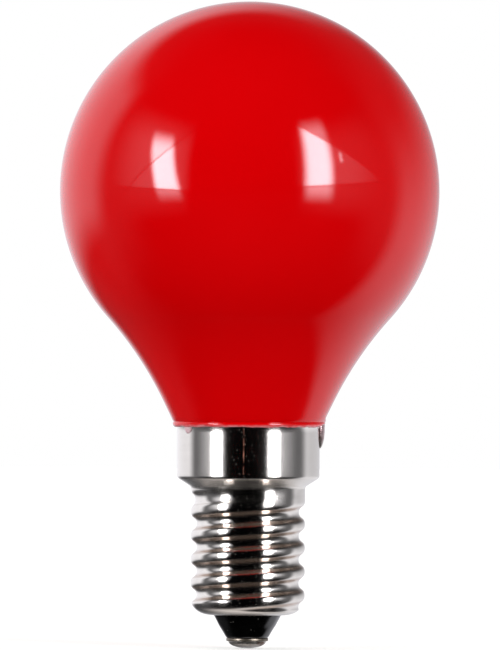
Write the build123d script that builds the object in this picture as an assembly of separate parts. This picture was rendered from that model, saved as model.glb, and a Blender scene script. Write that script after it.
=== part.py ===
"""Round lamp with a small Edison screw cap: a sealed bulb of lacquered glass, cemented into a metal cap.

The lamp stands cap down on its own axis. Z is the axis and points up, the origin is the lowest point of the
centre contact, and +X is the side where a lead is soldered to the collar. All sizes are in millimetres.
"""

import os
from math import asin, atan2, ceil, cos, degrees, sin

from build123d import *

# Sealed glass bulb with its coat of lacquer
globe_diameter = 45.2
neck_length = 4.8  # from the rim of the cap up to where a full ball would end
neck_straight = 2.55  # straight run of the neck, below the hollow curve that joins it to the globe
neck_tuck = 2.53  # the straight run, drawn on, would pass this far inside the globe's side
stub_length = 5.5  # end of the neck that is cemented inside the collar
stub_bevel = 1.5
coat_thickness = 0.12  # lacquer over the outside of the cap's flared rim
coat_drop = 0.75  # how far the lacquer laps down over the cap from the rim
coat_rise = 0.1  # fillet of lacquer above the rim
coat_bevel = 0.15

# Cap shell, pressed from sheet, with a rolled round thread
sheet = 0.25
collar_diameter = 17.0
collar_height = 6.6  # from the edge of the shoulder to the rim
flare_below_coat = 0.05  # how far the flared rim runs on below the lacquer
flare_width = 0.4
shoulder_height = 1.2
shoulder_edge_radius = 0.5
sleeve_length = 15.2  # threaded sleeve, from the bottom lip to the shoulder
lip_land = 0.39  # flat ring round the insulator's hole
lip_round_height = 2.0
lip_inner_bevel = 0.9
thread_diameter = 13.7  # over the crests
thread_depth = 0.77
thread_pitch = 2.822
thread_pull = 0.53  # handles of the S-curves between root and crest, along the axis
crest_flat = 0.1  # gap between neighbouring turns of the groove
crest_land = 0.01  # the plain sleeve lies this far below the tops of the S-curves
lead_in_turns = 0.5  # the groove starts at least this far below the lip
rod_spare_turns = 3.0  # the rod that takes the groove is this much longer than the sleeve
run_out_turns = 0.85  # the groove grows shallow over this much of a turn
plain_neck = 0.7  # sleeve left plain between the end of the groove and the shoulder

# Cement between the glass and the collar
cement_depth = 4.4
cement_gap = 0.85  # between the glass stub and the bore of the collar

# Insulator of black glass, moulded into the lower end of the shell
insulator_top_diameter = 8.1  # fills the hole inside the lip
insulator_end_diameter = 5.3
insulator_cone_height = 2.75
insulator_depth = 3.0  # inside the shell, above the lip

# Centre contact, with the hole for its lead
lead_hole_diameter = 1.2
plate_diameter = 5.0
plate_thickness = 0.35
eyelet_diameter = 2.0
eyelet_length = 1.1

# Solder on the centre contact and on the side of the collar
dome_margin = 0.25  # plate left bare round the dome
dome_height = 0.9
plug_length = 1.0  # solder drawn up the eyelet
bead_width = 1.9
bead_height = 0.6  # out from the collar
bead_length = 2.3  # from its fullest place down to its end
bead_below_rim = 1.0  # its fullest place

# Heights of the stack, from the tip of the centre contact
plate_z = dome_height
insulator_end_z = plate_z + plate_thickness
eyelet_top_z = insulator_end_z + eyelet_length
lip_z = insulator_end_z + insulator_cone_height
lip_top_z = lip_z + sheet
insulator_top_z = lip_top_z + insulator_depth
shoulder_z = lip_z + sleeve_length
collar_z = shoulder_z + shoulder_height
rim_z = collar_z + collar_height
coat_z = rim_z - coat_drop
flare_z = coat_z - flare_below_coat
globe_z = rim_z + neck_length + globe_diameter / 2
overall_length = globe_z + globe_diameter / 2

# Radii that several pieces share
collar_radius = collar_diameter / 2
collar_bore = collar_radius - sheet
rim_radius = collar_radius + flare_width
rim_bore = rim_radius - sheet
coat_radius = rim_radius + coat_thickness
thread_radius = thread_diameter / 2
root_radius = thread_radius - thread_depth
sleeve_radius = thread_radius - crest_land
sleeve_bore = root_radius - sheet
lip_bore = insulator_top_diameter / 2
stub_radius = collar_bore - cement_gap
lead_hole = lead_hole_diameter / 2
eyelet_radius = eyelet_diameter / 2
plate_radius = plate_diameter / 2


def turned(outline):
    """Solid turned about Z from a closed outline in radius and height."""
    return revolve(Plane.XZ * make_face(outline.edges()), Axis.Z)


def glass_bulb():
    """Globe, hollow-curved neck, the coat's lip over the rim of the cap, and the stub inside the collar."""
    globe_radius = globe_diameter / 2
    globe_centre = Vector(0, globe_z)
    crown = Vector(0, overall_length)
    neck_foot = Vector(coat_radius, rim_z + coat_rise)

    # The straight run aims past the globe's centre, just inside the globe's side
    aim = globe_centre - neck_foot
    slope = atan2(aim.X, aim.Y) + asin((globe_radius - neck_tuck) / aim.length)
    along_neck = Vector(sin(slope), cos(slope))
    out_of_neck = Vector(cos(slope), -sin(slope))
    neck_top = neck_foot + along_neck * neck_straight

    # The hollow curve touches the straight run and the globe's circle
    reach = neck_top - globe_centre
    blend_radius = (reach.dot(reach) - globe_radius**2) / (2 * neck_tuck)
    blend_centre = neck_top + out_of_neck * blend_radius
    foot_share = globe_radius / (globe_radius + blend_radius)
    globe_foot = globe_centre + (blend_centre - globe_centre) * foot_share

    globe = TangentArc(crown, globe_foot, tangent=(1, 0))
    blend = TangentArc(globe_foot, neck_top, tangent=globe % 1)
    coat_touch = collar_radius + flare_width * flare_below_coat / (rim_z - flare_z)
    stub_z = rim_z - stub_length
    below = Polyline(
        neck_top,
        neck_foot,
        (coat_radius, coat_z + coat_bevel),
        (coat_radius - coat_bevel, coat_z),
        (coat_touch, coat_z),
        (rim_radius, rim_z),
        (stub_radius, rim_z),
        (stub_radius, stub_z + stub_bevel),
        (stub_radius - stub_bevel, stub_z),
        (0, stub_z),
        crown,
    )
    return turned(globe + blend + below)


def thread_groove():
    """Helical groove with round root and crests, which fades out as it climbs towards the shoulder."""
    top = (thread_pitch - crest_flat) / 2
    outside = thread_radius + thread_depth
    upper = Polyline((outside, 0), (outside, top), (thread_radius, top))
    upper += Bezier(
        (thread_radius, top),
        (thread_radius, top - thread_pull),
        (root_radius, thread_pull),
        (root_radius, 0),
    )
    profile = make_face(upper.edges() + mirror(upper, about=Plane.XZ).edges())

    run_out = run_out_turns * thread_pitch
    full_z = shoulder_z - plain_neck - run_out
    full_length = ceil((full_z - lip_z) / thread_pitch + lead_in_turns) * thread_pitch
    start_z = full_z - full_length
    climb = degrees(atan2(thread_depth + 2 * crest_land, run_out))
    path = Wire([
        Pos(0, 0, start_z) * Helix(thread_pitch, full_length, thread_radius),
        Pos(0, 0, full_z) * Helix(thread_pitch, run_out, thread_radius, cone_angle=climb),
    ])
    section = Pos(0, 0, start_z) * (Plane.XZ * profile)
    return sweep(section, path=path, is_frenet=True)


def cap_shell():
    """Sleeve with rolled thread and turned-in lip, then the shoulder and the collar with its flared rim."""
    lip_round_width = sleeve_radius - lip_bore - lip_land
    lip_centre = (lip_bore + lip_land, lip_z + lip_round_height)
    lip = EllipticalCenterArc(lip_centre, lip_round_width, lip_round_height, start_angle=-90, arc_size=90)
    joint_z = shoulder_z - plain_neck / 2
    sleeve = lip + Polyline(
        lip @ 1,
        (sleeve_radius, joint_z),
        (sleeve_bore, joint_z),
        (sleeve_bore, lip_top_z + lip_inner_bevel),
        (sleeve_bore - lip_inner_bevel, lip_top_z),
        (lip_bore, lip_top_z),
        (lip_bore, lip_z),
        lip @ 0,
    )
    rod_z = lip_z - rod_spare_turns * thread_pitch
    rod = extrude(Pos(0, 0, rod_z) * Circle(sleeve_radius), joint_z - rod_z)
    threaded_sleeve = (rod - thread_groove()) & turned(sleeve)

    edge = FilletPolyline(
        (sleeve_radius, shoulder_z),
        (collar_radius, collar_z),
        (collar_radius, flare_z),
        radius=shoulder_edge_radius,
    )
    collar = edge + Polyline(
        (collar_radius, flare_z),
        (rim_radius, rim_z),
        (rim_bore, rim_z),
        (collar_bore, flare_z),
        (collar_bore, collar_z + sheet),
        (sleeve_bore, shoulder_z),
        (sleeve_bore, joint_z),
        (sleeve_radius, joint_z),
        (sleeve_radius, shoulder_z),
    )
    return threaded_sleeve + turned(collar)


def cap_cement():
    """Ring of cement that fills the space between the glass stub and the collar, up to the rim."""
    cement_z = rim_z - cement_depth
    return turned(
        Polyline(
            (stub_radius, cement_z),
            (collar_bore, cement_z),
            (collar_bore, flare_z),
            (rim_bore, rim_z),
            (stub_radius, rim_z),
            close=True,
        )
    )


def cap_insulator():
    """Cone below the lip, and a plug inside the shell, with the hole for the lead to the centre contact."""
    end_radius = insulator_end_diameter / 2
    outline = Polyline(
        (eyelet_radius, insulator_end_z),
        (end_radius, insulator_end_z),
        (lip_bore, lip_z),
        (lip_bore, lip_top_z),
        (sleeve_bore - lip_inner_bevel, lip_top_z),
        (sleeve_bore, lip_top_z + lip_inner_bevel),
        (sleeve_bore, insulator_top_z),
        (lead_hole, insulator_top_z),
        (lead_hole, eyelet_top_z),
        (eyelet_radius, eyelet_top_z),
        close=True,
    )
    return turned(outline)


def contact_plate():
    """Contact disc with an eyelet that is held in the insulator."""
    outline = Polyline(
        (lead_hole, plate_z),
        (plate_radius, plate_z),
        (plate_radius, insulator_end_z),
        (eyelet_radius, insulator_end_z),
        (eyelet_radius, eyelet_top_z),
        (lead_hole, eyelet_top_z),
        close=True,
    )
    return turned(outline)


def contact_solder():
    """Dome of solder under the contact disc, with the plug that it leaves in the eyelet."""
    dome_edge = (plate_radius - dome_margin, plate_z)
    dome = TangentArc((0, 0), dome_edge, tangent=(1, 0))
    plug_z = plate_z + plug_length
    plug = Polyline(
        dome_edge,
        (lead_hole, plate_z),
        (lead_hole, plug_z),
        (0, plug_z),
        (0, 0),
    )
    return turned(dome + plug)


def side_solder():
    """Bead of solder that runs down the collar from under the lip of lacquer."""
    half_width = bead_width / 2
    outline = EllipticalCenterArc((0, 0), half_width, bead_length, start_angle=-90, arc_size=180)
    outline += Line((0, bead_length), (0, -bead_length))
    drop = revolve(Plane.XZ * make_face(outline.edges()), Axis.Z)
    drop = Pos(collar_radius + bead_height - half_width, 0, rim_z - bead_below_rim) * drop
    drop = split(drop, Plane((0, 0, coat_z)), keep=Keep.BOTTOM)
    collar_form = Polyline(
        (0, collar_z),
        (collar_radius, collar_z),
        (collar_radius, flare_z),
        (rim_radius, rim_z),
        (0, rim_z),
        close=True,
    )
    return drop - turned(collar_form)


NODES = [glass_bulb, cap_shell, cap_cement, cap_insulator, contact_plate, contact_solder, side_solder]

os.makedirs("parts", exist_ok=True)
for node in NODES:
    export_step(node(), f"parts/{node.__name__}.step")
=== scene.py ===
# %% [markdown]
# # A round lamp in red lacquer, with a small screw cap
#
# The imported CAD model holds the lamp's true sizes: a glass globe on a pressed metal cap, an
# insulator of black glass, and solder at the two contacts. This lesson makes a finer piece over
# each of those solids, gives each one the finish of the real material, and sets up the white
# studio that it was photographed in. The frame is loaded first, because every size and place
# below starts from it.

# %% Load the frame
from math import asin, atan2, cos, hypot, pi, radians, sin

import bmesh
import bpy
from mathutils import Matrix, Vector, noise


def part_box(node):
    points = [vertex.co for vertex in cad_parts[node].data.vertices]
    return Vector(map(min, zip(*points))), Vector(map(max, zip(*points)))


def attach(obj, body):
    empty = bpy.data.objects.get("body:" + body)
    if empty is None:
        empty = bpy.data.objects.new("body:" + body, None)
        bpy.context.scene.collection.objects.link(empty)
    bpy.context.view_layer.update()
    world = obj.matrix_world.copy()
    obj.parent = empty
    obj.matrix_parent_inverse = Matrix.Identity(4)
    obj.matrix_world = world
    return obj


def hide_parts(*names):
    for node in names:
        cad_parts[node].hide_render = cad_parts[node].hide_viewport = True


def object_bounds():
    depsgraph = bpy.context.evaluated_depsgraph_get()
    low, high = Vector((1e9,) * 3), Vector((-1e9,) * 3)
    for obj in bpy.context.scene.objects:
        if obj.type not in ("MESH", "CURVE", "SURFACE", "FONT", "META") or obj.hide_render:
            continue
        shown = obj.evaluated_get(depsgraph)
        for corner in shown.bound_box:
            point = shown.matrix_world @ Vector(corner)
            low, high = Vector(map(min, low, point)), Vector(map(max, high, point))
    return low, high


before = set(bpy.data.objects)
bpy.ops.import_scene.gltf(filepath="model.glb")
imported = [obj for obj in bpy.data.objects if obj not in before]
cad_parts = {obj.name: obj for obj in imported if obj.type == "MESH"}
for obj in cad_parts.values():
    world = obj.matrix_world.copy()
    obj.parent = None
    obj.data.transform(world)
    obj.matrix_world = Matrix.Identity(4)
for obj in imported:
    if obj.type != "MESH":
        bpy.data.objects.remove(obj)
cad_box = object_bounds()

print("nodes:", sorted(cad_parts))

# %% [markdown]
# The shared sizes come out of the imported nodes. They could be typed in again, but then a new
# model.glb would leave this scene behind. A node's box gives its radius as its highest x, because
# every piece is turned about the Z axis. The globe takes the nearest side of its box, so that it
# stays within the CAD's own facets. Sizes that no box shows are written in millimetres where they
# are first used.

# %% Sizes from the frame
MM = 0.001

glass_low, glass_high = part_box("glass_bulb")
shell_low, shell_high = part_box("cap_shell")
cone_low, cone_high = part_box("cap_insulator")
plate_low, plate_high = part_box("contact_plate")
tip_low, tip_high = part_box("contact_solder")
bead_low, bead_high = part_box("side_solder")

globe_radius = min(*glass_high.xy, *-glass_low.xy)
globe_z = glass_high.z - globe_radius
rim_radius = shell_high.x
rim_z = shell_high.z
lip_z = shell_low.z
print(f"globe radius {globe_radius / MM:.2f} mm, cap {lip_z / MM:.2f} to {rim_z / MM:.2f} mm")

# %% [markdown]
# Almost everything on a lamp is round, so each piece starts as half of its own section: an outline
# in radius and height. It could be a list of points that is worked out by hand. Here a pen draws
# it vertex by vertex instead. Straight stretches are extruded, and round stretches are spun about
# a centre in the plane of the outline, which keeps arcs true arcs.

# %% A pen for outlines
def start_outline(radius, height):
    """Opens a bmesh with the first vertex of an outline, where the pen stands."""
    bm = bmesh.new()
    return bm, bm.verts.new((radius, 0, height))


def line_to(bm, pen, radius, height, rows=1):
    """Draws a straight stretch by extruding the outline's last vertex."""
    start = pen.co.copy()
    end = Vector((radius, 0, height))
    for row in range(rows):
        pen = bmesh.ops.extrude_vert_indiv(bm, verts=[pen])["verts"][0]
        pen.co = start.lerp(end, (row + 1) / rows)
    return pen


def arc_to(bm, pen, radius, height, angle, rows):
    """Draws a round stretch by spinning the outline's last vertex about a centre."""
    spun = bmesh.ops.spin(
        bm, geom=[pen], cent=(radius, 0, height), axis=(0, 1, 0), angle=angle, steps=rows
    )
    return spun["geom_last"][0]


# %% [markdown]
# The bulb is blown glass, dipped in opaque red lacquer down to the cap. A sphere joined to a cone
# would need a blend between them, so its outline is drawn whole: a circle for the globe, a hollow
# curve and a short straight neck. The straight run aims just inside the globe's side, and the
# hollow curve is the one circle that touches both. Where the lacquer met the cap it stopped in a
# round bead over the rim, with a fine crease above the bead.

# %% Outline of the lacquered bulb
neck_straight = 2.55 * MM
neck_tuck = 2.53 * MM
coat_radius = rim_radius + 0.12 * MM
coat_rise = 0.1 * MM
bead_radius = 0.33 * MM
bead_start = radians(40)
bead_z = rim_z - 0.27 * MM
bead_centre = coat_radius - bead_radius
crease_z = bead_z + bead_radius * cos(bead_start)

neck_foot = Vector((coat_radius, 0, rim_z + coat_rise))
globe_centre = Vector((0, 0, globe_z))
aim = globe_centre - neck_foot
slope = atan2(aim.x, aim.z) + asin((globe_radius - neck_tuck) / aim.length)
neck_top = neck_foot + neck_straight * Vector((sin(slope), 0, cos(slope)))
reach = neck_top - globe_centre
hollow_radius = (reach.length_squared - globe_radius**2) / (2 * neck_tuck)
hollow_centre = neck_top + hollow_radius * Vector((cos(slope), 0, -sin(slope)))
globe_angle = atan2(hollow_centre.x, hollow_centre.z - globe_z)
print(f"neck slope {slope / radians(1):.1f} degrees, hollow curve {hollow_radius / MM:.1f} mm")

# %% [markdown]
# The pen starts at the crown, spins down the globe, back up through the hollow curve, runs down
# the neck, into the crease and round the bead. Below the bead the glass goes on as a stub inside
# the cap, where cement holds it. A last spin about the lamp's axis makes the piece. The vertices
# that meet on the axis are merged, which closes the poles, and the faces are turned outwards.

# %% Turn the bulb
stub_radius = 7.4 * MM
stub_bevel = 1.5 * MM
stub_z = glass_low.z
flare_touch = rim_radius - 0.35 * MM
rim_seat = rim_radius - 0.02 * MM
weld = 0.0001 * MM


def turn(bm, steps):
    """Spins the outline once round the lamp's axis and closes it."""
    bmesh.ops.spin(
        bm,
        geom=bm.verts[:] + bm.edges[:],
        cent=(0, 0, 0),
        axis=(0, 0, 1),
        angle=2 * pi,
        steps=steps,
        use_merge=True,
    )
    bmesh.ops.remove_doubles(bm, verts=bm.verts, dist=weld)
    bmesh.ops.recalc_face_normals(bm, faces=bm.faces)


bulb, pen = start_outline(0, glass_high.z)
pen = arc_to(bulb, pen, 0, globe_z, globe_angle, rows=72)
hollow_angle = slope + pi / 2 - globe_angle
pen = arc_to(bulb, pen, hollow_centre.x, hollow_centre.z, hollow_angle, rows=20)
pen = line_to(bulb, pen, neck_foot.x, neck_foot.z, rows=6)
pen = line_to(bulb, pen, bead_centre + bead_radius * sin(bead_start), crease_z)
pen = arc_to(bulb, pen, bead_centre, bead_z, pi - bead_start, rows=10)
pen = line_to(bulb, pen, flare_touch, bead_z - bead_radius)
pen = line_to(bulb, pen, rim_seat, rim_z)
pen = line_to(bulb, pen, stub_radius, rim_z)
pen = line_to(bulb, pen, stub_radius, stub_z + stub_bevel)
pen = line_to(bulb, pen, stub_radius - stub_bevel, stub_z)
pen = line_to(bulb, pen, 0, stub_z)
turn(bulb, steps=288)
print("bulb:", len(bulb.verts), "vertices")

# %% [markdown]
# A finished bmesh becomes an object that rides on the lamp. It says which CAD nodes it stands for,
# and edges sharper than its crease angle stay sharp. Pieces that were hot or wet are never quite
# regular. A displace modifier could disturb them, but a function of the place is easier to limit to
# one part of a piece: smooth chance, the same in every run.

# %% From bmesh to piece, and chance
def add_piece(bm, name, slot, *nodes, crease=50):
    """Makes the bmesh an object that rides on the lamp and stands for the named CAD nodes."""
    mesh = bpy.data.meshes.new(name)
    bm.to_mesh(mesh)
    bm.free()
    mesh.shade_smooth()
    mesh.set_sharp_from_angle(angle=radians(crease))
    piece = bpy.data.objects.new(name, mesh)
    bpy.context.scene.collection.objects.link(piece)
    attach(piece, "root")
    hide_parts(*nodes)
    print(f"{name}: {len(mesh.polygons)} faces")
    return piece


def ripple(point, size, seed=0.0):
    """Smooth chance between -1 and 1 that changes over about the given size."""
    return noise.noise(Vector(point) / size + Vector((seed, seed, seed)))


# %% [markdown]
# Dipped lacquer never stops in a clean line. Each vertex of the bead sinks by a little chance that
# changes along the rim, and the bead swells over the blob of solder at the side. The coat also
# grows thin there. A picture could carry that, but an attribute of the mesh needs no unwrapping:
# it keeps how thin the coat is, and the lacquer's colour reads it later.

# %% Ragged lower edge of the lacquer
hair = 0.01 * MM
ragged_depth = 0.13 * MM
ragged_size = 1.1 * MM
fine_share = 0.5
fine_size = ragged_size / 3
fine_seed = 7
solder_swell = 0.2 * MM
solder_width = 1.5 * MM
solder_reach = 3 * solder_width
solder_lift = 1.5
thin_from = 0.45
thin_rate = 2.2
thin_chance = 1.2
thin_on_swell = 3 / MM

thin_layer = bulb.verts.layers.float.new("thin")
for vert in bulb.verts:
    radius = hypot(vert.co.x, vert.co.y)
    on_bead = radius > flare_touch - hair and vert.co.z <= neck_foot.z
    if not on_bead:
        continue
    share = max(0, crease_z - vert.co.z) / (crease_z - bead_z + bead_radius)
    around = Vector((vert.co.x, vert.co.y, 0))
    chance = ripple(around, ragged_size) + fine_share * ripple(around, fine_size, fine_seed)
    beside_solder = vert.co.x > 0 and abs(vert.co.y) < solder_reach
    swell = solder_swell * 2 ** -((vert.co.y / solder_width) ** 2) if beside_solder else 0
    grow = 1 + swell * (1 - share) / radius
    vert.co.x *= grow
    vert.co.y *= grow
    vert.co.z += share**2 * (ragged_depth * chance + solder_lift * swell)
    thinned = max(0.0, share - thin_from) * (thin_rate + thin_chance * chance)
    vert[thin_layer] = thinned + thin_on_swell * swell
lacquered_bulb = add_piece(bulb, "lacquered_bulb", "lacquered_glass", "glass_bulb", crease=60)

# %% [markdown]
# The cap is drawn from thin nickel-plated sheet. It could be one surface with a Solidify modifier,
# but the thread lies outside only, so both sides of the sheet are drawn. The outline runs from the
# hole for the insulator round the turned-in lip, up the plain sleeve, over the shoulder and up the
# collar to the flared rim, and back down the inside. The lip is a quarter of an ellipse, made by
# spinning a quarter circle and squashing it. The shoulder meets sleeve and collar in small bends.

# %% Outline of the cap
cap_sheet = 0.25 * MM
lip_bore = 4.05 * MM
lip_land = 0.39 * MM
lip_round_height = 2.0 * MM
lip_inside_bevel = 0.9 * MM
thread_radius = 6.85 * MM
thread_depth = 0.77 * MM
collar_radius = rim_radius - 0.4 * MM
flare_z = rim_z - 0.55 * MM
shoulder_z = lip_z + 15.28 * MM
collar_z = lip_z + 16.33 * MM
foot_bend = 0.3 * MM
edge_bend = 0.5 * MM
sleeve_bore = thread_radius - thread_depth - cap_sheet
lip_inside_z = lip_z + cap_sheet

lip_round_width = thread_radius - lip_bore - lip_land
shoulder = Vector((collar_radius - thread_radius, 0, collar_z - shoulder_z))
bend = atan2(shoulder.x, shoulder.z)
bend_share = (1 - cos(bend)) / sin(bend)
foot_z = shoulder_z - foot_bend * bend_share
into_shoulder = shoulder.normalized() * edge_bend * bend_share
print(f"shoulder bends by {bend / radians(1):.0f} degrees, sleeve bore {sleeve_bore / MM:.2f} mm")

# %% Turn the cap
cap, first = start_outline(lip_bore, lip_z)
pen = line_to(cap, first, lip_bore + lip_land, lip_z, rows=2)
pen = arc_to(cap, pen, pen.co.x, lip_z + lip_round_width, -pi / 2, rows=24)
squash = (1, 1, lip_round_height / lip_round_width)
from_lip = Matrix.Translation((0, 0, -lip_z))
bmesh.ops.scale(cap, vec=squash, space=from_lip, verts=cap.verts[:])
pen = line_to(cap, pen, thread_radius, foot_z, rows=120)
pen = arc_to(cap, pen, thread_radius + foot_bend, foot_z, bend, rows=8)
pen = line_to(cap, pen, collar_radius - into_shoulder.x, collar_z - into_shoulder.z, rows=4)
edge_z = collar_z + edge_bend * bend_share
pen = arc_to(cap, pen, collar_radius - edge_bend, edge_z, -bend, rows=10)
pen = line_to(cap, pen, collar_radius, flare_z, rows=8)
pen = line_to(cap, pen, rim_radius, rim_z, rows=2)
pen = line_to(cap, pen, rim_radius - cap_sheet, rim_z)
pen = line_to(cap, pen, collar_radius - cap_sheet, flare_z)
pen = line_to(cap, pen, collar_radius - cap_sheet, collar_z + cap_sheet)
pen = line_to(cap, pen, sleeve_bore, shoulder_z)
pen = line_to(cap, pen, sleeve_bore, lip_inside_z + lip_inside_bevel)
pen = line_to(cap, pen, sleeve_bore - lip_inside_bevel, lip_inside_z)
pen = line_to(cap, pen, lip_bore, lip_inside_z)
cap.edges.new((pen, first))
print("cap outline:", len(cap.verts), "points")
turn(cap, steps=160)

# %% [markdown]
# The thread is rolled into the finished sleeve on the real cap. A section spun along a helix would
# leave its two ends open, so the plain sleeve gets a groove pressed into it here too. A vertex's
# angle says at which height the groove passes it. A lamp cap's thread is made of equal arcs,
# hollow in the valley and round on the ridge, which touch at the middle of the flank. Over its
# last turn below the shoulder the groove grows shallow and ends, and at the bottom it runs softly
# out into the lip. Which parts are flanks, and which parts were rolled at all, go into attributes
# for the nickel: the flanks get a painted reflection, and the rolled parts a smoother polish.

# %% Roll the thread
thread_pitch = 2.822 * MM
last_full_turn = lip_z + 12.24 * MM
run_out_turns = 0.95
lip_blend = 0.15 * MM
bore_margin = 0.1 * MM
quarter = thread_pitch / 4
arc_radius = quarter / sin(2 * atan2(thread_depth / 2, quarter))
print(f"thread arcs of {arc_radius / MM:.2f} mm")

flank_layer = cap.verts.layers.float.new("flank")
rolled_layer = cap.verts.layers.float.new("rolled")
for vert in cap.verts:
    radius = hypot(vert.co.x, vert.co.y)
    on_inside = radius < sleeve_bore + bore_margin and vert.co.z > lip_inside_z
    if on_inside or vert.co.z > foot_z:
        continue
    turn_share = (atan2(vert.co.y, vert.co.x) / (2 * pi)) % 1
    climbed = (vert.co.z - last_full_turn) / thread_pitch
    turns = round(climbed - turn_share) + turn_share
    from_valley = abs(climbed - turns) * thread_pitch
    from_middle = min(from_valley, 2 * quarter - from_valley)
    sagitta = arc_radius - (arc_radius**2 - from_middle**2) ** 0.5
    groove = thread_depth - sagitta if from_valley < quarter else sagitta
    fade = 1 - min(1, max(0, turns / run_out_turns)) ** 2
    wave_radius = thread_radius - groove * fade
    mix = min(1, max(0, 0.5 + (wave_radius - radius) / (2 * lip_blend)))
    pressed = wave_radius + (radius - wave_radius) * mix - lip_blend * mix * (1 - mix)
    vert.co.x *= pressed / radius
    vert.co.y *= pressed / radius
    vert[flank_layer] = from_middle / quarter * fade * (1 - mix)
    vert[rolled_layer] = fade
screw_cap = add_piece(cap, "screw_cap", "nickel_plate", "cap_shell", crease=60)

# %% [markdown]
# The insulator is black glass that was pressed hot into the end of the cap. Outside it is a plain
# cone with a soft lower edge, and inside it fills the end of the sleeve. A cone primitive has no
# inside to fit the cap, so it is turned from an outline too. Hot glass keeps small waves and a
# ragged edge, so each vertex of the cone moves by a little chance, more towards the tip.

# %% Black glass insulator
cone_end = 2.65 * MM
cone_edge = 0.22 * MM
lead_hole = 0.6 * MM
eyelet_radius = 1.0 * MM
glass_wave = 0.05 * MM
glass_wave_size = 1.1 * MM
wave_inwards = 0.3
wave_at_lip = 0.4
still_z = lip_z - 0.1 * MM

insulator, first = start_outline(eyelet_radius, cone_low.z)
pen = line_to(insulator, first, cone_end - cone_edge, cone_low.z, rows=6)
pen = line_to(insulator, pen, cone_end, cone_low.z + cone_edge, rows=3)
pen = line_to(insulator, pen, lip_bore, lip_z, rows=20)
pen = line_to(insulator, pen, lip_bore, lip_inside_z)
pen = line_to(insulator, pen, sleeve_bore - lip_inside_bevel, lip_inside_z)
pen = line_to(insulator, pen, sleeve_bore, lip_inside_z + lip_inside_bevel)
pen = line_to(insulator, pen, sleeve_bore, cone_high.z)
pen = line_to(insulator, pen, lead_hole, cone_high.z)
pen = line_to(insulator, pen, lead_hole, plate_high.z)
pen = line_to(insulator, pen, eyelet_radius, plate_high.z)
insulator.edges.new((pen, first))
turn(insulator, steps=96)

for vert in insulator.verts:
    outside = hypot(vert.co.x, vert.co.y) > eyelet_radius
    if outside and cone_low.z + hair < vert.co.z < still_z:
        lower = 1 - (vert.co.z - cone_low.z) / (lip_z - cone_low.z)
        chance = ripple(vert.co, glass_wave_size) - wave_inwards
        shrink = glass_wave * chance * (wave_at_lip + lower)
        vert.co.x *= 1 + shrink / cone_end
        vert.co.y *= 1 + shrink / cone_end
black_insulator = add_piece(
    insulator, "black_insulator", "black_glass", "cap_insulator", crease=35
)

# %% [markdown]
# The centre contact is a stamped disc with an eyelet up through the insulator. Only its edge
# shows, under the solder. A disc and a tube could be joined by a boolean, but one outline turns
# both at once. Its outer edges are beveled, because a stamped edge is never knife sharp and a
# bevel catches the light.

# %% Contact disc
disc_bevel = 0.08 * MM

plate, first = start_outline(lead_hole, plate_low.z)
pen = line_to(plate, first, plate_high.x, plate_low.z, rows=2)
pen = line_to(plate, pen, plate_high.x, cone_low.z)
pen = line_to(plate, pen, eyelet_radius, cone_low.z)
pen = line_to(plate, pen, eyelet_radius, plate_high.z)
pen = line_to(plate, pen, lead_hole, plate_high.z)
plate.edges.new((pen, first))
turn(plate, steps=72)
rim_edges = [
    edge
    for edge in plate.edges
    if all(hypot(vert.co.x, vert.co.y) > plate_high.x - hair for vert in edge.verts)
    and abs(edge.verts[0].co.z - edge.verts[1].co.z) < hair
]
bmesh.ops.bevel(
    plate,
    geom=rim_edges,
    offset=disc_bevel,
    offset_type="OFFSET",
    affect="EDGES",
    segments=3,
    profile=0.5,
    material=-1,
)
contact_disc = add_piece(plate, "contact_disc", "contact_metal", "contact_plate", crease=40)

# %% [markdown]
# The solder on the tip froze as a low, full dome with a plug up the eyelet. Its outline is a
# quarter circle, squashed like the lip of the cap, because a cut ball would have no plug. Then the
# drop's surface is disturbed inwards, so that it keeps its size.

# %% Solder on the tip
lump_depth = 0.12 * MM
lump_size = 0.9 * MM
lump_seed = 3
dome_radius = tip_high.x

drop, pen = start_outline(0, tip_low.z)
pen = arc_to(drop, pen, 0, tip_low.z + dome_radius, -pi / 2, rows=22)
squash = (1, 1, (plate_low.z - tip_low.z) / dome_radius)
from_tip = Matrix.Translation((0, 0, -tip_low.z))
bmesh.ops.scale(drop, vec=squash, space=from_tip, verts=drop.verts[:])
pen = line_to(drop, pen, lead_hole, plate_low.z, rows=2)
pen = line_to(drop, pen, lead_hole, tip_high.z)
pen = line_to(drop, pen, 0, tip_high.z)
turn(drop, steps=72)
for vert in drop.verts:
    if vert.co.z < plate_low.z - hair:
        dent = lump_depth * (1 + ripple(vert.co, lump_size, lump_seed)) / 2
        vert.co.z += dent * (1 - hypot(vert.co.x, vert.co.y) / dome_radius)
tip_solder = add_piece(drop, "tip_solder", "solder", "contact_solder")

# %% [markdown]
# At the side of the collar a lead comes out under the rim and is held by a run of solder, which
# tapers downwards. It starts as a ball, stretched to the size of the CAD bead and cut off under
# the lacquer. A boolean with the cap would leave ragged faces, so vertices that would lie inside
# the collar are set down on it instead: the run gets a back that fits the metal. Where front and
# back meet at the end of the run, their vertices are merged, and the mesh stays closed.

# %% Solder at the side
run_top = bead_z
run_rise = 0.1 * MM
run_lump = 0.07
run_lump_size = 0.7 * MM
run_seed = 5
run_weld = 0.001 * MM
run_middle = Vector((collar_radius, 0, bead_high.z + run_rise))
run_half = Vector((bead_high.x - run_middle.x, bead_high.y, run_middle.z - bead_low.z))

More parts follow.
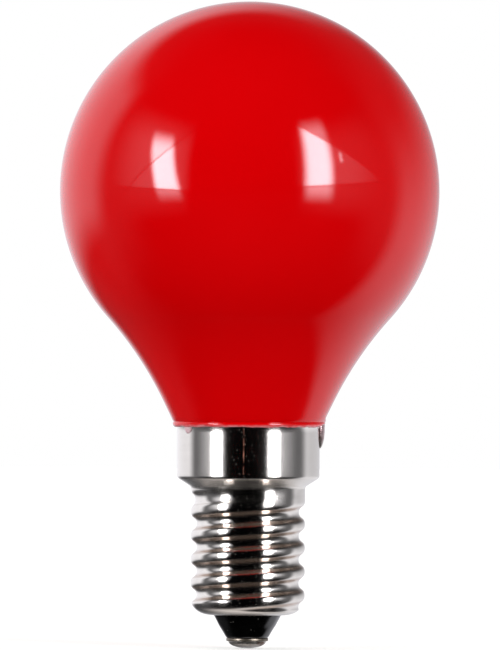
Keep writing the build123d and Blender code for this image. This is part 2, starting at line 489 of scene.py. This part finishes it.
run = bmesh.new()
stretch = Matrix.Translation(run_middle) @ Matrix.Diagonal((*run_half, 1))
bmesh.ops.create_uvsphere(run, u_segments=40, v_segments=40, radius=1, matrix=stretch)
bmesh.ops.bisect_plane(
    run,
    geom=run.verts[:] + run.edges[:] + run.faces[:],
    plane_co=(0, 0, run_top),
    plane_no=(0, 0, 1),
    clear_outer=True,
)
bmesh.ops.holes_fill(run, edges=[edge for edge in run.edges if edge.is_boundary])
for vert in run.verts:
    radius = hypot(vert.co.x, vert.co.y)
    proud = max(0, radius - collar_radius)
    lump = 1 + run_lump * min(0, ripple(vert.co, run_lump_size, run_seed))
    settle = (collar_radius + proud * lump) / radius
    vert.co.x *= settle
    vert.co.y *= settle
bmesh.ops.remove_doubles(run, verts=run.verts, dist=run_weld)
bmesh.ops.recalc_face_normals(run, faces=run.faces)
side_run = add_piece(run, "side_run", "solder", "side_solder")

# %% [markdown]
# One drop of lacquer ran over the rim at the left and dried on the collar, so thin that the metal
# shows through. It could be painted on the nickel, but a real drop has a round edge that catches
# the light. So it is a flat half ball, laid on the collar in the same way as the solder.

# %% Lacquer drip
drip_angle = radians(213)
drip_half = Vector((0.1, 0.85, 0.9)) * MM
drip_z = bead_z - 0.25 * MM

drip = bmesh.new()
on_the_left = Matrix.Rotation(drip_angle, 4, "Z") @ Matrix.Translation((collar_radius, 0, drip_z))
flattened = on_the_left @ Matrix.Diagonal((*drip_half, 1))
bmesh.ops.create_uvsphere(drip, u_segments=24, v_segments=20, radius=1, matrix=flattened)
for vert in drip.verts:
    radius = hypot(vert.co.x, vert.co.y)
    vert.co.x *= max(1, collar_radius / radius)
    vert.co.y *= max(1, collar_radius / radius)
bmesh.ops.recalc_face_normals(drip, faces=drip.faces)
lacquer_drip = add_piece(drip, "lacquer_drip", "lacquered_glass")

# %% [markdown]
# Materials are node trees. They could be wired in the editor and loaded from a file, but a script
# shows every value. One function adds a node with its settings and its links, and one turns a
# colour as a painter writes it, in sRGB hex, into the linear numbers that a shader takes.

# %% Colours and nodes
def linear(colour):
    """Linear red, green, blue and alpha of an sRGB hex colour."""
    parts = [int(colour[i : i + 2], 16) / 255 for i in (1, 3, 5)]
    return [p / 12.92 if p <= 0.04045 else ((p + 0.055) / 1.055) ** 2.4 for p in parts] + [1]


def add(tree, kind, inputs=None, **settings):
    """Adds a node. Inputs are values, hex colours, sockets, or nodes for their first output."""
    node = tree.nodes.new("ShaderNode" + kind)
    for name, value in settings.items():
        setattr(node, name, value)
    for name, value in (inputs or {}).items():
        if isinstance(value, bpy.types.Node):
            value = value.outputs[0]
        if isinstance(value, bpy.types.NodeSocket):
            tree.links.new(value, node.inputs[name])
        else:
            node.inputs[name].default_value = linear(value) if isinstance(value, str) else value
    return node


# %% [markdown]
# Every finish starts from an empty tree and ends at the material's output, so two functions open
# and close it. Patterns are laid on Object coordinates, in metres, so a pattern's scale is one
# over its real size. They could be laid on an unwrapped map, but Object coordinates have no seams.
# Noise stays mostly within the same middle span, which is named here because most finishes use it.

# %% Opening and closing a material
noise_span = {"From Min": 0.3, "From Max": 0.7}


def new_material(name, *pieces):
    """A material with an empty tree on the pieces. Returns the tree and Object coordinates."""
    material = bpy.data.materials.new(name)
    material.use_nodes = True
    material.node_tree.nodes.clear()
    for piece in pieces:
        piece.data.materials.clear()
        piece.data.materials.append(material)
    print("material:", name)
    return material.node_tree, add(material.node_tree, "TexCoord").outputs["Object"]


def finish_material(tree, shader):
    """Links the shader to the material's output."""
    add(tree, "OutputMaterial", {"Surface": shader})
    print("  made of", len(tree.nodes), "nodes")


# %% [markdown]
# Red lacquer, dipped over blown glass. The eye gets a deep, even red under a mirror gloss, with
# highlights that wobble a little because a dipped coat dries in shallow waves a few millimetres
# long. The red drifts slightly in tone, and at the ragged edge it thins to a dull pink over the
# metal. Glass under a clear coat could be modelled, but the coat is opaque, so one glossy shader
# gives the same look.

# %% Red lacquer
lacquer_drift = 11 * MM
fray_size = 0.35 * MM
sag_length = 4 * MM
sag_height = 0.05 * MM

tree, place = new_material("Red lacquer, dipped over glass", lacquered_bulb)
cloud = add(tree, "TexNoise", {"Vector": place, "Scale": 1 / lacquer_drift, "Detail": 3.0})
red = add(tree, "MixRGB", {"Fac": cloud, "Color1": "#CC0003", "Color2": "#D40005"})
thinness = add(tree, "Attribute", attribute_name="thin").outputs["Fac"]
fray = add(tree, "TexNoise", {"Vector": place, "Scale": 1 / fray_size, "Detail": 2.0})
worn = add(tree, "Math", {0: thinness, 1: fray}, operation="MULTIPLY", use_clamp=True)
coat = add(tree, "MixRGB", {"Fac": worn, "Color1": red, "Color2": "#EFB6BE"})
gloss = add(tree, "MapRange", {"Value": cloud, **noise_span, "To Min": 0.05, "To Max": 0.08})
sag = add(tree, "TexNoise", {"Vector": place, "Scale": 1 / sag_length, "Detail": 1.0})
bump = add(tree, "Bump", {"Height": sag, "Strength": 0.12, "Distance": sag_height})
shader = add(
    tree,
    "BsdfPrincipled",
    {
        "Base Color": coat,
        "Roughness": gloss,
        "Normal": bump,
        "IOR": 1.5,
        "Specular IOR Level": 0.45,
        "Specular Tint": "#FFF8FA",
    },
)
finish_material(tree, shader)

# %% [markdown]
# Thin red lacquer, dried over nickel. The metal shines through the drop, so it reads as a dull
# pink that is still glossy, deeper where the drop is thick. True transparency would show the same
# pink at a far higher cost, so the drop is a little metallic instead.

# %% Thin lacquer
drop_cloud = 0.6 * MM

tree, place = new_material("Thin red lacquer over nickel", lacquer_drip)
thickness = add(tree, "TexNoise", {"Vector": place, "Scale": 1 / drop_cloud, "Detail": 2.0})
pink = add(tree, "MixRGB", {"Fac": thickness, "Color1": "#BF959B", "Color2": "#DCC6C8"})
shader = add(tree, "BsdfPrincipled", {"Base Color": pink, "Metallic": 0.35, "Roughness": 0.16})
finish_material(tree, shader)

# %% [markdown]
# Nickel plate on drawn steel. Nickel is a slightly warm, bright mirror. Drawing and rolling leave
# fine lines round the cap, which spread every reflection up and down and keep it sharp sideways,
# so the eye gets clean white and black stripes that run down over all the ridges. Lines fine
# enough for that can't be modelled, so the shader is anisotropic, with its tangent round the cap.
# First comes the colour: a brownish tone is painted on the flanks of the thread, where the
# attribute says so. It is a painted reflection of the warm, dim things that the steep flanks
# mirror.

# %% Nickel, colour
nickel_drift = 5 * MM

tree, place = new_material("Nickel plate on drawn steel", screw_cap)
patina = add(tree, "TexNoise", {"Vector": place, "Scale": 1 / nickel_drift, "Detail": 4.0})
nickel = add(tree, "MixRGB", {"Fac": patina, "Color1": "#E2DDD6", "Color2": "#F0ECE6"})
flank = add(tree, "Attribute", attribute_name="flank").outputs["Fac"]
# Painted reflection: a brownish tone on the steep flanks of the thread, for the warm things they
# mirror.
flank_reflection = add(
    tree,
    "MapRange",
    {"Value": flank, "From Min": 0.5, "From Max": 1.0, "To Min": 0.0, "To Max": 0.6},
)
flank_reflection_colour = add(tree, "MixRGB", {"Fac": flank_reflection, "Color1": nickel, "Color2": "#A98C78"})
print("  colour:", len(tree.nodes), "nodes")

# %% [markdown]
# Then comes the polish. The lines round the cap and the small pits change the gloss and tilt the
# surface a little. Real lines are finer still, so these are drawn as coarse as they need to show.
# Rolling burnishes the thread, so it is a little smoother than the collar.

# %% Nickel, polish
line_length = 9 * MM
line_height = 0.15 * MM
pit_size = 0.14 * MM
relief_depth = 0.02 * MM
rolled_change = -0.05

line_scale = (1 / line_length, 1 / line_length, 1 / line_height)
round_lines = add(tree, "Mapping", {"Vector": place, "Scale": line_scale})
lines = add(tree, "TexNoise", {"Vector": round_lines, "Scale": 1.0, "Detail": 2.0})
polish = add(tree, "MapRange", {"Value": lines, **noise_span, "To Min": 0.19, "To Max": 0.24})
rolled = add(tree, "Attribute", attribute_name="rolled").outputs["Fac"]
burnished = add(
    tree, "Math", {0: rolled, 1: rolled_change, 2: polish}, operation="MULTIPLY_ADD"
)
pits = add(tree, "TexNoise", {"Vector": place, "Scale": 1 / pit_size, "Detail": 1.0})
relief = add(tree, "Math", {0: lines, 1: pits}, operation="ADD")
bump = add(tree, "Bump", {"Height": relief, "Strength": 0.1, "Distance": relief_depth})
round_the_cap = add(tree, "VectorMath", {0: (0, 0, 1), 1: place}, operation="CROSS_PRODUCT")
metal = add(
    tree,
    "BsdfPrincipled",
    {
        "Base Color": flank_reflection_colour,
        "Metallic": 1.0,
        "Roughness": burnished,
        "Anisotropic": 0.95,
        "Anisotropic Rotation": 0.25,
        "Tangent": round_the_cap,
        "Normal": bump,
    },
)
print("  bare metal:", len(tree.nodes), "nodes")

# %% [markdown]
# Three things lie over the metal. Part of the painted flank reflection is matt, so it greys what
# the flanks mirror. A thin streak of brown flux ran down the front of the collar, broken into
# patches. Handling left pale specks, which show where the metal mirrors something dark. Mixing
# their colours into the nickel would make them metallic, so each is a shader of its own, laid over
# the nickel by a mask.

# %% Painted flank reflection and flux on the nickel
flank_reflection_matt_share = 0.18
streak_x = -0.55 * MM
streak_half = 0.11 * MM
streak_break = 0.8 * MM

# The matt part of the painted flank reflection, which greys what the flanks mirror.
matt_flank_reflection = add(tree, "BsdfDiffuse", {"Color": "#BA9E8A"})
matt_reflection_share = add(tree, "Math", {0: flank_reflection, 1: flank_reflection_matt_share}, operation="MULTIPLY")
metal_with_flank_reflection = add(tree, "MixShader", {0: matt_reflection_share, 1: metal, 2: matt_flank_reflection})

spot = add(tree, "SeparateXYZ", {0: place}).outputs
aside = add(tree, "Math", {0: spot["X"], 1: streak_x}, operation="SUBTRACT")
width = add(tree, "Math", {0: aside}, operation="ABSOLUTE")
beside = {"Value": width, "From Max": streak_half, "To Min": 1.0, "To Max": 0.0}
in_streak = add(tree, "MapRange", beside)
collar_from = collar_z + edge_bend
on_collar = add(tree, "Math", {0: spot["Z"], 1: collar_from}, operation="GREATER_THAN")
in_front = add(tree, "Math", {0: spot["Y"], 1: 0.0}, operation="LESS_THAN")
breaks = add(tree, "TexNoise", {"Vector": place, "Scale": 1 / streak_break, "Detail": 3.0})
streak = add(
    tree,
    "MapRange",
    {"Value": breaks, "From Min": 0.4, "From Max": 0.65, "To Min": 0.0, "To Max": 1.0},
)
for limit in (in_streak, on_collar, in_front):
    streak = add(tree, "Math", {0: streak, 1: limit}, operation="MULTIPLY")
flux = add(tree, "BsdfPrincipled", {"Base Color": "#B97A66", "Roughness": 0.4})
fluxed = add(tree, "MixShader", {0: streak, 1: metal_with_flank_reflection, 2: flux})
print("  with film and flux:", len(tree.nodes), "nodes")

# %% Specks on the nickel
speck_spacing = 0.4 * MM
speck_radius = 0.06 * MM
speck_core = 0.4 * speck_radius
speck_cover = 0.35

cells = add(tree, "TexVoronoi", {"Vector": place, "Scale": 1 / speck_spacing, "Randomness": 1.0})
speck = add(
    tree,
    "MapRange",
    {
        "Value": cells,
        "From Min": speck_core / speck_spacing,
        "From Max": speck_radius / speck_spacing,
        "To Min": speck_cover,
        "To Max": 0.0,
    },
)
dust = add(tree, "BsdfDiffuse", {"Color": "#DBD5CB"})
finish_material(tree, add(tree, "MixShader", {0: speck, 1: fluxed, 2: dust}))

# %% [markdown]
# Black glass, pressed hot. It is almost black with a soft gloss, dulled in patches where it
# touched the mould, and a few pale grains of dust lie on it. Loose grains would be hundreds of
# tiny pieces, so a cell pattern draws them on the surface.

# %% Black glass
mould_patch = 1.5 * MM
mould_depth = 0.06 * MM
dust_spacing = 0.8 * MM
dust_core = 0.032 * MM
dust_radius = 0.096 * MM

tree, place = new_material("Black glass, pressed hot", black_insulator)
patch = add(tree, "TexNoise", {"Vector": place, "Scale": 1 / mould_patch, "Detail": 4.0})
black = add(tree, "MixRGB", {"Fac": patch, "Color1": "#010101", "Color2": "#060606"})
cells = add(tree, "TexVoronoi", {"Vector": place, "Scale": 1 / dust_spacing, "Randomness": 1.0})
grain = add(
    tree,
    "MapRange",
    {
        "Value": cells,
        "From Min": dust_core / dust_spacing,
        "From Max": dust_radius / dust_spacing,
        "To Min": 0.5,
        "To Max": 0.0,
    },
)
dusty = add(tree, "MixRGB", {"Fac": grain, "Color1": black, "Color2": "#797772"})
dull = add(tree, "MapRange", {"Value": patch, **noise_span, "To Min": 0.07, "To Max": 0.22})
bump = add(tree, "Bump", {"Height": patch, "Strength": 0.2, "Distance": mould_depth})
shader = add(
    tree,
    "BsdfPrincipled",
    {"Base Color": dusty, "Roughness": dull, "Normal": bump, "IOR": 1.6},
)
finish_material(tree, shader)

# %% [markdown]
# Tin solder, frozen from a drop. Fresh solder is a soft grey metal with a fine crystal grain and
# small lumps, and burnt flux leaves brown spots on it. The run at the side lies under the
# lacquer's edge, so it is tinted pink towards the rim: the tint follows the height. Both drops are
# the same metal, so one function makes both materials.

# %% Solder
crystal_size = 0.25 * MM
crystal_height = 0.05 * MM
flux_spot = 1.3 * MM
burnt_cover = 0.9
tint_cover = 0.8
tip_tint_depth = 0.1 * MM


def solder_material(name, piece, tint, tint_low, tint_high):
    """Grey solder with grain and flux spots, tinted more and more between two heights."""
    tree, place = new_material(name, piece)
    grain = add(tree, "TexNoise", {"Vector": place, "Scale": 1 / crystal_size, "Detail": 4.0})
    grey = add(tree, "MixRGB", {"Fac": grain, "Color1": "#8C8782", "Color2": "#CFCAC4"})
    spots = add(tree, "TexNoise", {"Vector": place, "Scale": 1 / flux_spot, "Detail": 1.0})
    burnt = add(
        tree,
        "MapRange",
        {"Value": spots, "From Min": 0.6, "From Max": 0.7, "To Min": 0.0, "To Max": burnt_cover},
    )
    spotted = add(tree, "MixRGB", {"Fac": burnt, "Color1": grey, "Color2": "#5A3A22"})
    height = add(tree, "SeparateXYZ", {0: place}).outputs["Z"]
    heights = {"From Min": tint_low, "From Max": tint_high}
    rise = add(
        tree, "MapRange", {"Value": height, **heights, "To Min": 0.0, "To Max": tint_cover}
    )
    tinted = add(tree, "MixRGB", {"Fac": rise, "Color1": spotted, "Color2": tint})
    dull = add(tree, "MapRange", {"Value": grain, **noise_span, "To Min": 0.24, "To Max": 0.45})
    bump = add(tree, "Bump", {"Height": grain, "Strength": 0.35, "Distance": crystal_height})
    shader = add(
        tree,
        "BsdfPrincipled",
        {"Base Color": tinted, "Metallic": 0.9, "Roughness": dull, "Normal": bump},
    )
    finish_material(tree, shader)


tip_tint_low = plate_low.z - tip_tint_depth
solder_material("Tin solder, frozen drop", tip_solder, "#C8C2BA", tip_tint_low, plate_low.z)
solder_material(
    "Tin solder under thin lacquer", side_run, "#C9A9AC", bead_low.z, bead_high.z
)

# %% [markdown]
# The contact disc is tinned brass, a dull warm metal, and the cement in the cap is a pale gritty
# filling. Both are hidden but for an edge, so they get plain finishes, and the cement stays the
# CAD's own solid.

# %% Tinned brass and cement
tarnish_size = 0.8 * MM
grit_size = 0.3 * MM
grit_height = 0.05 * MM

tree, place = new_material("Tinned brass, stamped", contact_disc)
tarnish = add(tree, "TexNoise", {"Vector": place, "Scale": 1 / tarnish_size, "Detail": 3.0})
brass = add(tree, "MixRGB", {"Fac": tarnish, "Color1": "#6F6558", "Color2": "#9A9286"})
shader = add(tree, "BsdfPrincipled", {"Base Color": brass, "Metallic": 1.0, "Roughness": 0.42})
finish_material(tree, shader)

tree, place = new_material("Capping cement, set hard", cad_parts["cap_cement"])
grit = add(tree, "TexNoise", {"Vector": place, "Scale": 1 / grit_size, "Detail": 5.0})
stone = add(tree, "MixRGB", {"Fac": grit, "Color1": "#B8AD98", "Color2": "#DDD5C4"})
bump = add(tree, "Bump", {"Height": grit, "Strength": 0.5, "Distance": grit_height})
shader = add(tree, "BsdfPrincipled", {"Base Color": stone, "Roughness": 0.9, "Normal": bump})
finish_material(tree, shader)

# %% [markdown]
# The studio. The lamp was lit by two white umbrellas, left and right of the camera, before a white
# wall, and the room behind the camera was dark. All of that could be built from lamps and sheets,
# but a mirror cap shows each one, and it would take long to place them. So the surroundings are
# drawn on the world by direction: azimuth 0 is towards the camera, positive azimuths are on the
# right, and elevation goes up.

# %% Directions of the world
world = bpy.data.worlds.new("White studio")
world.use_nodes = True
world.node_tree.nodes.clear()
bpy.context.scene.world = world
sky = world.node_tree

heading = add(sky, "TexCoord").outputs["Generated"]
direction = add(sky, "SeparateXYZ", {0: heading}).outputs
towards_camera = add(sky, "Math", {0: direction["Y"], 1: -1.0}, operation="MULTIPLY")
azimuth = add(sky, "Math", {0: direction["X"], 1: towards_camera}, operation="ARCTAN2")
elevation = add(sky, "Math", {0: direction["Z"]}, operation="ARCSINE")
print("directions:", len(sky.nodes), "nodes")

# %% [markdown]
# A soft window is a bright field between angles, which may lean, and which fades at its sides. A
# picture of the studio could do the same, but a window drawn by angles can be moved and sized.

# %% Soft windows
smooth = {"interpolation_type": "SMOOTHSTEP"}


def soft_window(light, strength, middle, half, fade, lean=0.0):
    """Adds a bright field: middle, half size and fade in degrees of azimuth and elevation.

    Its middle moves sideways with the height, by the share that is given as the lean."""
    rise = add(sky, "Math", {0: elevation, 1: radians(middle[1])}, operation="SUBTRACT")
    away = add(sky, "Math", {0: azimuth, 1: radians(middle[0])}, operation="SUBTRACT")
    leaned = add(sky, "Math", {0: rise, 1: lean, 2: away}, operation="MULTIPLY_ADD")
    across = add(sky, "Math", {0: leaned, 1: pi, 2: -pi}, operation="WRAP")
    sides = []
    for offset, reach, soft in zip((across, rise), half, fade):
        size = add(sky, "Math", {0: offset}, operation="ABSOLUTE")
        edge = {"From Min": radians(reach - soft / 2), "From Max": radians(reach + soft / 2)}
        inside = {"Value": size, **edge, "To Min": 1.0, "To Max": 0.0}
        sides.append(add(sky, "MapRange", inside, **smooth))
    mask = add(sky, "Math", {0: sides[0], 1: sides[1]}, operation="MULTIPLY")
    return add(sky, "Math", {0: mask, 1: strength, 2: light}, operation="MULTIPLY_ADD")


# %% [markdown]
# An umbrella seen from the side is a bright strip with a fainter cloth beside it, and its ribs are
# thin dark lines across both. A rib is a straight line between two directions. Beyond the rib the
# cloth turns away and is dimmer. Towards the camera each umbrella ends at the edge of its cloth.

# %% Ribs and umbrellas
rib_half = radians(0.8)
rib_shade = 0.1


def rib(light, start, end, outside, beyond):
    """Draws a rib and dims the light beyond it: above the rib for 1, below it for -1."""
    climb = (end[1] - start[1]) / (end[0] - start[0])
    foot = radians(start[1] - climb * start[0])
    line = add(sky, "Math", {0: azimuth, 1: climb, 2: foot}, operation="MULTIPLY_ADD")
    above = add(sky, "Math", {0: elevation, 1: line}, operation="SUBTRACT")
    signed = add(sky, "Math", {0: above, 1: outside}, operation="MULTIPLY")
    gap = add(sky, "Math", {0: above}, operation="ABSOLUTE")
    cloth = {"Value": signed, "From Min": -rib_half, "To Min": 1.0, "To Max": beyond}
    wire = {"Value": gap, "From Min": 0.0, "To Min": rib_shade, "To Max": 1.0}
    for shade in (cloth, wire):
        mask = add(sky, "MapRange", {**shade, "From Max": rib_half}, **smooth)
        light = add(sky, "Math", {0: light, 1: mask}, operation="MULTIPLY")
    return light


def umbrella(fields, ribs, dark_from, bright_from):
    """Lays soft windows and ribs over each other, and ends them between two azimuths."""
    light = 0.0
    for field in fields:
        light = soft_window(light, *field)
    for line in ribs:
        light = rib(light, *line)
    ends = {"From Min": radians(dark_from), "From Max": radians(bright_from)}
    cloth = {"Value": azimuth, **ends, "To Min": 0.0, "To Max": 1.0}
    end = add(sky, "MapRange", cloth, **smooth)
    return add(sky, "Math", {0: light, 1: end}, operation="MULTIPLY")


# %% [markdown]
# The two umbrellas. Each has a bright strip and a cloth. In the right one a small sparkle shows
# beside the strip. Strengths come first, then middle, half size and fade in degrees, and the lean.
# The angles are those at which the globe mirrors each edge to the camera. A rib has its two ends,
# the side that it dims, and how much light is left there.

# %% Left and right umbrella
strip_strength = 24.0

left_fields = (
    (strip_strength, (-54.7, 12), (7.6, 14.5), (5, 11), 0.33),
    (1.35, (-60, 12), (20, 20), (34, 20), 0.2),
)
left_ribs = (
    ((-73.2, 5.8), (-48.2, 26.7), 1, 0.85),
    ((-72.9, 1.1), (-42.1, -0.3), -1, 0.3),
)
right_fields = (
    (strip_strength, (43.6, 17), (8.2, 20), (7, 11), -0.06),
    (1.2, (57, 12), (20, 20), (34, 20), -0.2),
    (8.0, (59.2, 17.7), (1, 2.5), (1, 2)),
)
right_ribs = (
    ((38.7, 35.6), (74, 13), 1, 0.25),
    ((34.9, 2.3), (76.7, 4.0), -1, 0.35),
)
left_umbrella = umbrella(left_fields, left_ribs, dark_from=-35, bright_from=-42)
right_umbrella = umbrella(right_fields, right_ribs, dark_from=26, bright_from=33)
print("with umbrellas:", len(sky.nodes), "nodes")

# %% [markdown]
# The wall behind the lamp shows at the edges of everything round. It is bright higher up on the
# left than on the right, and the two sides pass softly into each other behind the lamp. At the
# sides the light of the umbrellas spills over the walls of the room.

# %% Walls
dark_room = 0.001
left_wall = 1.02
right_wall = 0.86
whole_wall = 0.07
spill = 0.15
wall_blend = 0.35

sideways = {"Value": direction["X"], "From Min": -wall_blend, "From Max": wall_blend}
on_left = add(sky, "MapRange", {**sideways, "To Min": left_wall, "To Max": 0.0}, **smooth)
on_right = add(sky, "MapRange", {**sideways, "To Min": 0.0, "To Max": right_wall}, **smooth)
walls = (
    (on_left, (180, 14), (75, 25), (18, 15)),
    (on_right, (180, -21), (76, 28), (18, 44)),
    (whole_wall, (180, 0), (80, 50), (30, 40)),
    (spill, (-94, 0), (18, 28), (28, 40)),
    (spill, (94, 0), (18, 28), (28, 40)),
)
light = dark_room
for wall in walls:
    light = soft_window(light, *wall)
for source in (left_umbrella, right_umbrella):
    light = add(sky, "Math", {0: source, 1: light}, operation="ADD")
print("with walls:", len(sky.nodes), "nodes")

# %% [markdown]
# The paper under the lamp is bright too, a little warm, and shows only in metal that faces down
# steeply. The mirror that sends a direction to the camera faces half way between the two, so its
# tilt is the height of their sum over the sum's length. A direction belongs to the paper when that
# tilt is more than 40 degrees down, which the glass never is. The paper fades towards the back of
# the room.

# %% Paper in the mirrors
paper_from = radians(-41)
paper_full = radians(-45)
paper_fades = 0.2
paper_ends = 0.85

squared = add(sky, "Math", {0: direction["Y"], 1: -2.0, 2: 2.0}, operation="MULTIPLY_ADD")
length = add(sky, "Math", {0: squared}, operation="SQRT")
tilt = add(sky, "Math", {0: direction["Z"], 1: length}, operation="DIVIDE")
fall = {"To Min": 1.0, "To Max": 0.0}
tilts = {"Value": tilt, "From Min": sin(paper_full), "From Max": sin(paper_from)}
steep = add(sky, "MapRange", {**tilts, **fall}, **smooth)
depths = {"Value": direction["Y"], "From Min": paper_fades, "From Max": paper_ends}
near = add(sky, "MapRange", {**depths, **fall}, **smooth)
paper_shows = add(sky, "Math", {0: steep, 1: near}, operation="MULTIPLY")
lit = add(sky, "MixRGB", {"Fac": paper_shows, "Color1": light, "Color2": "#EFE8E0"})
print("with paper:", len(sky.nodes), "nodes")

# %% [markdown]
# Matt surfaces need a plain level of light, at which a colour renders about as it is written. The
# studio alone would light them too strongly and too much from the front, so they get about half of
# it, and two reflectors that no mirror sees add a broad, soft light from above on the right and
# from the left. Mirrors see the whole studio, a little cool as umbrella cloth is. To the camera
# itself the world is plain white.

# %% Reflectors and background
reflectors = {(0.45, 0.3, 0.84): 1.3, (-0.85, 0.45, -0.1): 3.0}
all_round = 0.05
matt_level = 0.515

ray = add(sky, "LightPath").outputs
bounce = all_round
for side, strength in reflectors.items():
    facing = add(sky, "VectorMath", {0: heading, 1: side}, operation="DOT_PRODUCT")
    ahead = add(sky, "Math", {0: facing.outputs["Value"], 1: 0.0}, operation="MAXIMUM")
    bounce = add(sky, "Math", {0: ahead, 1: strength, 2: bounce}, operation="MULTIPLY_ADD")
matt_only = add(sky, "Math", {0: bounce, 1: ray["Is Diffuse Ray"]}, operation="MULTIPLY")
filled = add(
    sky, "MixRGB", {"Fac": 1.0, "Color1": lit, "Color2": matt_only}, blend_type="ADD"
)
cool = add(
    sky,
    "MixRGB",
    {"Fac": ray["Is Glossy Ray"], "Color1": filled, "Color2": "#F8F8FF"},
    blend_type="MULTIPLY",
)
level = add(
    sky,
    "Math",
    {0: ray["Is Glossy Ray"], 1: 1 - matt_level, 2: matt_level},
    operation="MULTIPLY_ADD",
)
studio = add(sky, "Background", {"Color": cool, "Strength": level})
plain = add(sky, "Background", {"Color": "#FFFFFF"})
seen = add(sky, "MixShader", {0: ray["Is Camera Ray"], 1: studio, 2: plain})
add(sky, "OutputWorld", {"Surface": seen})
print("world:", len(sky.nodes), "nodes")

# %% [markdown]
# The floor is a pale sheet of paper that the tip of the lamp just touches. Its own diffuse white
# carries the lamp's soft shadow. More light would make it white, but would bleach the lamp too.
# So what that white lacks to the plain background is added for the camera only: the floor meets
# the background without a line, and the lamp gets no more light from it. Mirrors don't see the
# floor itself, because the world already draws the paper for them.

# %% Floor
floor_half = 1.5
floor_glow = 0.54
fibre_size = 2 * MM

floor_mesh = bpy.data.meshes.new("floor")
floor_shape = bmesh.new()
bmesh.ops.create_grid(floor_shape, x_segments=2, y_segments=2, size=floor_half)
floor_shape.to_mesh(floor_mesh)
floor_shape.free()
floor = bpy.data.objects.new("floor", floor_mesh)
bpy.context.scene.collection.objects.link(floor)
floor.visible_glossy = False

tree, place = new_material("Pale paper sheet", floor)
fibre = add(tree, "TexNoise", {"Vector": place, "Scale": 1 / fibre_size, "Detail": 2.0})
paper = add(tree, "MixRGB", {"Fac": fibre, "Color1": "#CBCAC8", "Color2": "#CFCECC"})
matt = add(tree, "BsdfDiffuse", {"Color": paper})
to_camera = add(tree, "LightPath").outputs["Is Camera Ray"]
fill = add(tree, "Math", {0: to_camera, 1: floor_glow}, operation="MULTIPLY")
glow = add(tree, "Emission", {"Color": "#FFFFFF", "Strength": fill})
finish_material(tree, add(tree, "AddShader", {0: matt, 1: glow}))

# %% [markdown]
# The camera looks level at the middle of the lamp from 1.2 m, with a long lens, and the lamp fills
# the height of the picture. In the photograph the lamp leans a little. The lamp could be tilted,
# but it has to stand upright in its frame, so a small roll of the camera repeats the lean.

# %% Camera
distance = 1.2
picture_share = 647 / 650
camera_x = 0.12 * MM
roll = radians(-0.33)
lamp_height = cad_box[1].z - cad_box[0].z

lens = bpy.data.cameras.new("camera")
lens.lens = lens.sensor_width * distance * picture_share / lamp_height
camera = bpy.data.objects.new("camera", lens)
camera.location = (camera_x, -distance, lamp_height / 2)
camera.rotation_euler = (radians(90), roll, 0)
bpy.context.scene.collection.objects.link(camera)
bpy.context.scene.camera = camera
bpy.context.scene.view_settings.view_transform = "Standard"
print(f"lens {lens.lens:.0f} mm")
